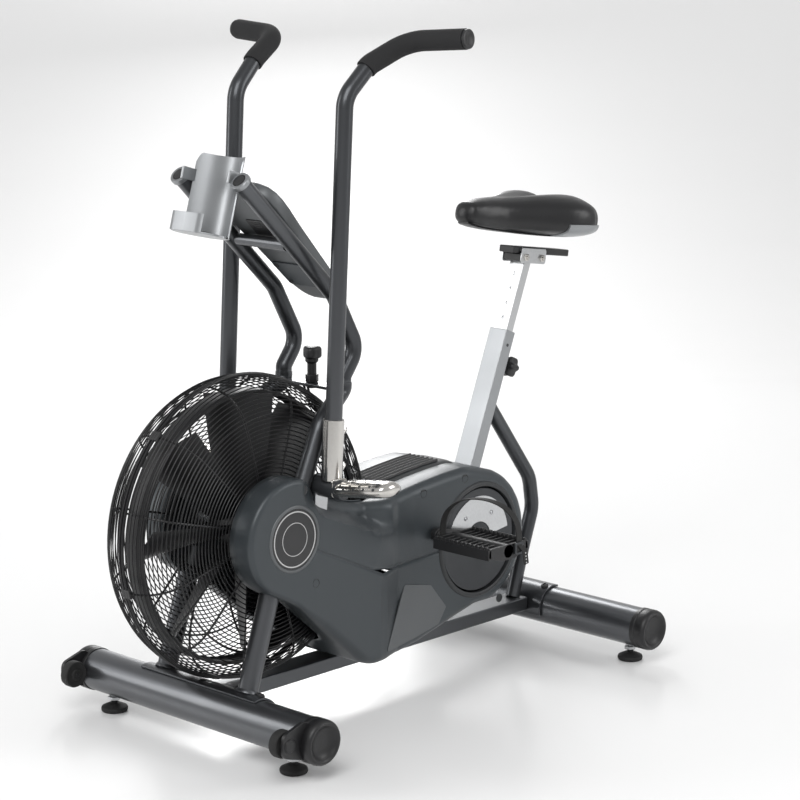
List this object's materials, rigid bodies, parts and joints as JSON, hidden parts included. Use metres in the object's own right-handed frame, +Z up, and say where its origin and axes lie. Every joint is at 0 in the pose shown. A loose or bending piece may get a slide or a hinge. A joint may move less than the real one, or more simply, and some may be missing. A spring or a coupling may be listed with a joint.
{
  "type": "air bike",
  "caption": "Air bike: caged front fan driven by pedals through a belt, swinging arm levers with foot pegs, sliding padded saddle, console mast and bottle holder.",
  "frame": {"origin": "on the floor, under the middle of the overall box", "axes": "+Z up, +X from the fan towards the saddle, +Y to the rider's right when seated facing the fan"},
  "size_m": [1.199, 0.658, 1.3015],
  "materials": {
    "frame_paint": "metallic satin charcoal",
    "shroud_plastic": "satin slate grey, fine grain",
    "black_plastic": "satin moulded",
    "guard_wire": "black powder coat",
    "rubber": "matt",
    "grip_foam": "soft foam",
    "chrome": "polished",
    "bright_steel": "turned",
    "silver_paint": "satin silver",
    "saddle_vinyl": "fine grain",
    "disc_plastic": "satin dark grey"
  },
  "bodies": {
    "base": {"base_beam": "frame_paint", "front_stabiliser": "frame_paint", "rear_stabiliser": "frame_paint", "front_saddle_plate": "frame_paint", "rear_saddle_plate": "frame_paint", "mast_crossbar": "frame_paint", "console_crossbar": "frame_paint", "seat_brace": "frame_paint", "left_fork": "frame_paint", "left_mast_tube": "frame_paint", "right_fork": "frame_paint", "right_mast_tube": "frame_paint", "front_left_end_cap": "black_plastic", "front_right_end_cap": "black_plastic", "rear_left_end_cap": "black_plastic", "rear_right_end_cap": "black_plastic", "console_housing": "black_plastic", "battery_door": "black_plastic", "vent_cap": "black_plastic", "console_cable": "rubber", "drive_belt": "rubber", "left_fan_guard": "guard_wire", "right_fan_guard": "guard_wire", "console_panel": "disc_plastic", "seat_tube": "silver_paint", "bottle_holder": "silver_paint", "left_shroud": "shroud_plastic", "right_shroud": "shroud_plastic"},
    "crank_set": {"crank_axle": "bright_steel", "crank_pulley": "black_plastic", "left_crank_disc": "disc_plastic", "right_crank_disc": "disc_plastic", "left_crank": "black_plastic", "right_crank": "black_plastic"},
    "fan_rotor": {"fan_wheel": "black_plastic", "fan_axle": "bright_steel"},
    "left_handle": {"left_arm": "frame_paint", "left_grip": "grip_foam", "left_arm_bracket": "chrome"},
    "left_rod": {"left_drive_rod": "bright_steel"},
    "left_pedal_unit": {"left_pedal": "black_plastic", "left_pedal_strap": "black_plastic"},
    "left_wheel": {"left_transport_wheel": "rubber"},
    "right_handle": {"right_arm": "frame_paint", "right_grip": "grip_foam", "right_arm_bracket": "chrome"},
    "right_rod": {"right_drive_rod": "bright_steel"},
    "right_pedal_unit": {"right_pedal": "black_plastic", "right_pedal_strap": "black_plastic"},
    "right_wheel": {"right_transport_wheel": "rubber"},
    "front_left_leveller": {"front_left_foot": "rubber"},
    "front_right_leveller": {"front_right_foot": "rubber"},
    "rear_left_leveller": {"rear_left_foot": "rubber"},
    "rear_right_leveller": {"rear_right_foot": "rubber"},
    "post": {"seat_post": "silver_paint"},
    "saddle_unit": {"saddle_slider": "black_plastic", "saddle": "saddle_vinyl"},
    "seat_pin": {"seat_knob": "black_plastic"},
    "clamp_screw": {"mast_knob": "black_plastic"}
  },
  "joints": [
    {"name": "crank_spin", "type": "hinge", "parent": "base", "child": "crank_set", "pos_m": [0.21974, 0, 0.282], "axis": [0, 1, 0], "continuous": true},
    {"name": "fan_spin", "type": "hinge", "parent": "base", "child": "fan_rotor", "pos_m": [-0.32076, 0, 0.39], "axis": [0, 1, 0], "continuous": true},
    {"name": "left_arm_swing", "type": "hinge", "parent": "base", "child": "left_handle", "pos_m": [-0.22436, -0.144, 0.4686], "axis": [0, 1, 0], "range_deg": [-13, 13]},
    {"name": "right_arm_swing", "type": "hinge", "parent": "base", "child": "right_handle", "pos_m": [-0.22436, 0.144, 0.4686], "axis": [0, 1, 0], "range_deg": [-13, 13]},
    {"name": "left_rod_pivot", "type": "hinge", "parent": "left_handle", "child": "left_rod", "pos_m": [-0.23106, -0.1015, 0.34879], "axis": [0, 1, 0], "range_deg": [-13, 13]},
    {"name": "right_rod_pivot", "type": "hinge", "parent": "right_handle", "child": "right_rod", "pos_m": [-0.23106, 0.1015, 0.34879], "axis": [0, 1, 0], "range_deg": [-13, 13]},
    {"name": "left_pedal_spin", "type": "hinge", "parent": "crank_set", "child": "left_pedal_unit", "pos_m": [0.08483, -0.236, 0.31941], "axis": [0, 1, 0], "continuous": true},
    {"name": "right_pedal_spin", "type": "hinge", "parent": "crank_set", "child": "right_pedal_unit", "pos_m": [0.35465, 0.236, 0.24459], "axis": [0, 1, 0], "continuous": true},
    {"name": "left_wheel_spin", "type": "hinge", "parent": "base", "child": "left_wheel", "pos_m": [-0.49176, -0.287, 0.08], "axis": [0, 1, 0], "continuous": true},
    {"name": "right_wheel_spin", "type": "hinge", "parent": "base", "child": "right_wheel", "pos_m": [-0.49176, 0.287, 0.08], "axis": [0, 1, 0], "continuous": true},
    {"name": "front_left_leveller_turn", "type": "hinge", "parent": "base", "child": "front_left_leveller", "pos_m": [-0.42576, -0.248, 0], "axis": [0, 0, 1], "continuous": true},
    {"name": "front_right_leveller_turn", "type": "hinge", "parent": "base", "child": "front_right_leveller", "pos_m": [-0.42576, 0.248, 0], "axis": [0, 0, 1], "continuous": true},
    {"name": "rear_left_leveller_turn", "type": "hinge", "parent": "base", "child": "rear_left_leveller", "pos_m": [0.51574, -0.2665, 0], "axis": [0, 0, 1], "continuous": true},
    {"name": "rear_right_leveller_turn", "type": "hinge", "parent": "base", "child": "rear_right_leveller", "pos_m": [0.51574, 0.2665, 0], "axis": [0, 0, 1], "continuous": true},
    {"name": "seat_height", "type": "slide", "parent": "base", "child": "post", "axis": [0.3714, 0, 0.9285], "range_m": [-0.125, 0.05]},
    {"name": "saddle_reach", "type": "slide", "parent": "post", "child": "saddle_unit", "axis": [0.9903, 0, -0.1392], "range_m": [-0.028, 0.028]},
    {"name": "seat_pin_pull", "type": "slide", "parent": "base", "child": "seat_pin", "axis": [0.9285, 0, -0.3714], "range_m": [0, 0.01], "stiffness_N_per_m": 500, "springref_m": -0.004},
    {"name": "clamp_screw_turn", "type": "hinge", "parent": "base", "child": "clamp_screw", "pos_m": [-0.13176, 0, 0.6355], "axis": [0, 0, 1], "continuous": true}
  ],
  "couplings": [
    {"joint": "fan_spin", "follows": "crank_spin", "ratio": 3.2075},
    {"joint": "right_arm_swing", "follows": "left_arm_swing", "ratio": -1},
    {"joint": "left_rod_pivot", "follows": "left_arm_swing", "ratio": -1},
    {"joint": "right_rod_pivot", "follows": "left_arm_swing", "ratio": 1}
  ]
}
